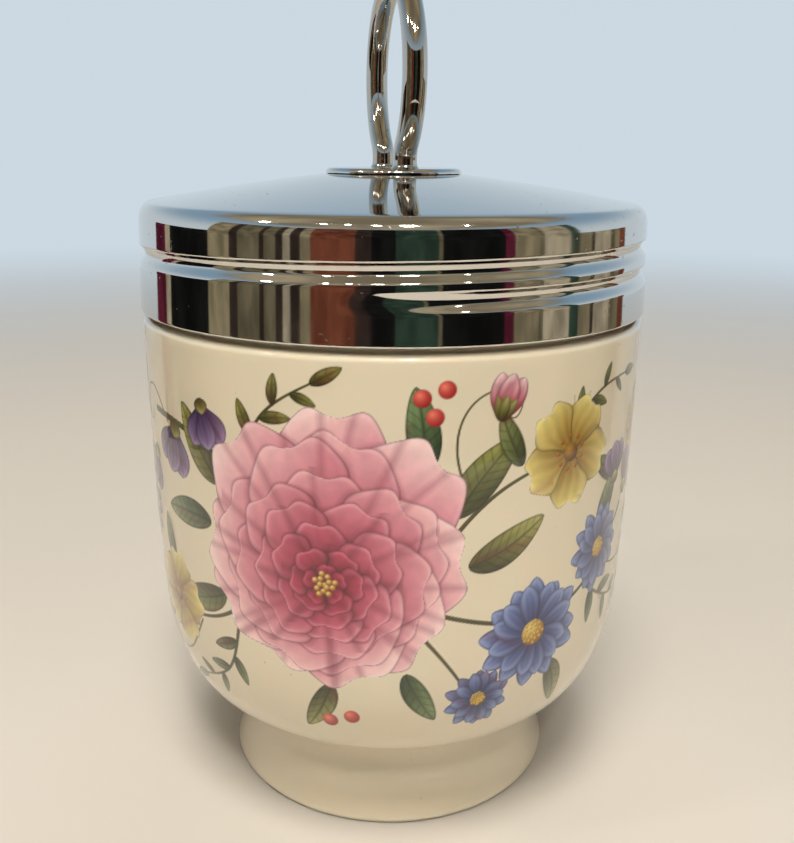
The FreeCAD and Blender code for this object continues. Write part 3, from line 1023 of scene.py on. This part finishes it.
spray(front, [(-22, 36), (-25, 28), (-32, 24)], 5.0, 5, 0.4)
spray(front, [(22, 60), (31, 68), (38, 69)], 4.4, 5, 0.3)
for x, y, turn, length, bend, green in [
        (-24, 56, -48, 12, 0.2, 0.0), (-26, 50, -84, 11, -0.15, 0.7), (8, 54, 30, 13, 0.16, 0.2),
        (4, 60, 2, 11, -0.14, 0.8), (10, 47, 74, 12, -0.2, 0.0), (-24, 40, -118, 11, 0.18, 0.3),
        (-8, 30, 196, 9, 0.2, 0.1), (2, 32, 160, 9, -0.15, 0.7), (17, 60, -30, 8, 0.1, 0.4),
        (31, 58, 118, 8, 0.1, 0.0), (24, 30, 150, 9, 0.15, 0.2), (33, 47, 20, 10, 0.12, 0.5),
        (-37, 40, -20, 8, 0.1, 0.5), (-41, 31, -110, 8, -0.1, 0.0)]:
    leaf(front, x, y, turn, length, bend, green)
cup_flower(front, 25, 60.5, 7.6)
cup_flower(front, -37, 35.5, 7.2)
cup_flower(front, 46.5, 60, 5.2)
bell(front, -33.5, 62, 196, 7.4)
bell(front, -27, 66.5, 168, 6.4)
bell(front, -41.5, 56.5, 214, 6.6)
bell(front, 42, 50.5, 34, 7.0)
bell(front, 37.5, 53.5, -8, 6.0)
daisy(front, 33.5, 44.5, 6.6)
daisy(front, 12.5, 26.8, 5.0, count=10)
daisy(front, 20.5, 35.5, 8.4)
daisy(front, -47.5, 47, 5.6, plum_deep, plum_pale, 11)
bud(front, 13.5, 66.2, 16, 6.2)
bud(front, -47, 66.0, -62, 5.4)
berries = [(3.6, 69.6), (6.6, 70.6), (5.2, 67.2), (-5.4, 24.6), (-8.6, 23.6), (48.6, 31),
           (50.6, 33.6), (-51, 36.6)]
for x, y in berries:
    dot(front, x, y, 1.15, (0.60, 0.12, 0.12), (0.95, 0.50, 0.42))
bloom(front, -8.5, 46.5, 18.5)
print("painted share of the front:", round(float((front.cover > 0.5).mean()), 3))

# %% Back posy and side twigs
back = Sheet(90, 24, 146, 72)
stem(back, [(98, 60), (108, 52), (120, 45), (136, 40)], 0.8, olive)
spray(back, [(104, 55), (100, 64), (104, 70)], 4.8, 5, 0.3)
spray(back, [(126, 43), (133, 50), (141, 52)], 4.8, 5)
for x, y, turn, length, bend, green in [
        (112, 54, -20, 11, 0.15, 0.0), (122, 52, 36, 11, -0.15, 0.6),
        (108, 44, -120, 10, 0.15, 0.2), (118, 36, 190, 9, 0.2, 0.7)]:
    leaf(back, x, y, turn, length, bend, green)
daisy(back, 130, 40, 6.6)
cup_flower(back, 104.5, 50.5, 5.8)
daisy(back, 126, 56.5, 4.8, plum_deep, plum_pale, 10)
bell(back, 99, 59, 200, 6.0, blue_deep, blue_pale)
bloom(back, 116.5, 45.5, 11)
twigs = []
for middle, way, deep, pale in ((72, 1, blue_deep, blue_pale), (-72, -1, gold_deep, gold_pale)):
    twig = Sheet(middle - 11, 30, middle + 11, 66)
    spray(twig, [(middle - 5 * way, 34), (middle + 1, 44), (middle - 1, 56)], 5.6, 7, 0.3)
    daisy(twig, middle - 1, 58, 4.8, deep, pale)
    bell(twig, middle + 4.5, 49, 120, 4.8)
    bud(twig, middle - 5, 47, -50, 4.6)
    twigs.append(twig)
print("painted share of the back:", round(float((back.cover > 0.5).mean()), 3))

# %% [markdown]
# Geometry nodes then slide each sheet on to the bowl. A Shrinkwrap modifier pulls a
# flat sheet to the nearest place, which squeezes its sides. Here the distance along
# the girth becomes an angle for each point, and a ray is sent in towards the axis at
# the point's height. Where it meets the bowl, the point stays, a hair above the glaze.

# %% Wrap tree
ray_reach = 0.06


def wrap_tree(finish):
    inputs = {"Sheet": "Geometry", "Bowl": "Object", "Girth radius": "Float", "Lift": "Float"}
    tree, net, (flat, bowl, girth, lift) = open_tree("wrapped_print", inputs, "Print")
    x, y, z = net.add("ShaderNodeSeparateXYZ", None, {0: net.add("GeometryNodeInputPosition")[0]})
    angle = x / girth
    sockets = {0: net.maths("SINE", angle), 1: 0 - net.maths("COSINE", angle), 2: 0.0}
    outward = net.add("ShaderNodeCombineXYZ", None, sockets)[0]
    height = net.add("ShaderNodeCombineXYZ", None, {2: y})[0]
    settings = {"transform_space": "ORIGINAL"}
    target = net.named("GeometryNodeObjectInfo", settings, {"Object": bowl})["Geometry"]
    source = net.added(net.scaled(outward, ray_reach), height)
    hit = net.named("GeometryNodeRaycast", None, {
        "Target Geometry": target, "Source Position": source,
        "Ray Direction": net.scaled(outward, -1.0), "Ray Length": ray_reach,
    })
    place = net.added(hit["Hit Position"], net.scaled(hit["Hit Normal"], lift))
    moved = net.add("GeometryNodeSetPosition", None, {"Geometry": flat, "Position": place})[0]
    close_tree(net, net.add("GeometryNodeSetShadeSmooth", None, {0: moved})[0], finish)
    return tree


# %% [markdown]
# A print isn't a whole sheet: only the painted part is made a mesh, and the paper
# round it is left out. The front is laid in two halves, because one mesh of that many
# points is slow to handle in other programs.

# %% Transfer


def transfer(name, sheet, tree, finish, start=-math.inf, end=math.inf):
    """Makes a mesh of what is painted between two girths and wraps it round the bowl."""
    sheet.bleed()
    wet = sheet.cover > 0.004
    for axis in (0, 1):
        wet = wet | np.roll(wet, 1, axis) | np.roll(wet, -1, axis)
    used = wet[1:, 1:] | wet[:-1, 1:] | wet[1:, :-1] | wet[:-1, :-1]
    rows, columns = np.nonzero(used & (sheet.x[:-1] >= start) & (sheet.x[:-1] < end))
    wide = len(sheet.x)
    corner = rows * wide + columns
    quads = np.stack([corner, corner + 1, corner + wide + 1, corner + wide], 1)
    kept, quads = np.unique(quads, return_inverse=True)
    quads = quads.reshape(-1, 4)
    gx, gy = np.meshgrid(sheet.x * mm, sheet.y * mm)
    points = np.stack([gx.ravel()[kept], gy.ravel()[kept], np.zeros(len(kept))], 1)
    made = mesh_object(name, points.tolist(), quads.tolist(), finish)
    colour = np.ones((len(kept), 4))
    colour[:, :3] = sheet.ink.reshape(-1, 3)[kept] ** screen_gamma
    ink = made.data.attributes.new("ink", "FLOAT_COLOR", "POINT")
    ink.data.foreach_set("color", colour.ravel())
    cover = made.data.attributes.new("cover", "FLOAT", "POINT")
    cover.data.foreach_set("value", sheet.cover.ravel()[kept])
    settle(made, tree, {"Bowl": cup, "Girth radius": 37.5 * mm, "Lift": 0.02 * mm})
    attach(made, "cup")


screen_gamma = 2.2
print_finish = porcelain("printed_porcelain", printed=True)
wrapping = wrap_tree(print_finish)
transfer("print_front_left", front, wrapping, print_finish, end=0)
transfer("print_front_right", front, wrapping, print_finish, start=0)
transfer("print_back", back, wrapping, print_finish)
for name, twig in zip(("print_side_a", "print_side_b"), twigs):
    transfer(name, twig, wrapping, print_finish)
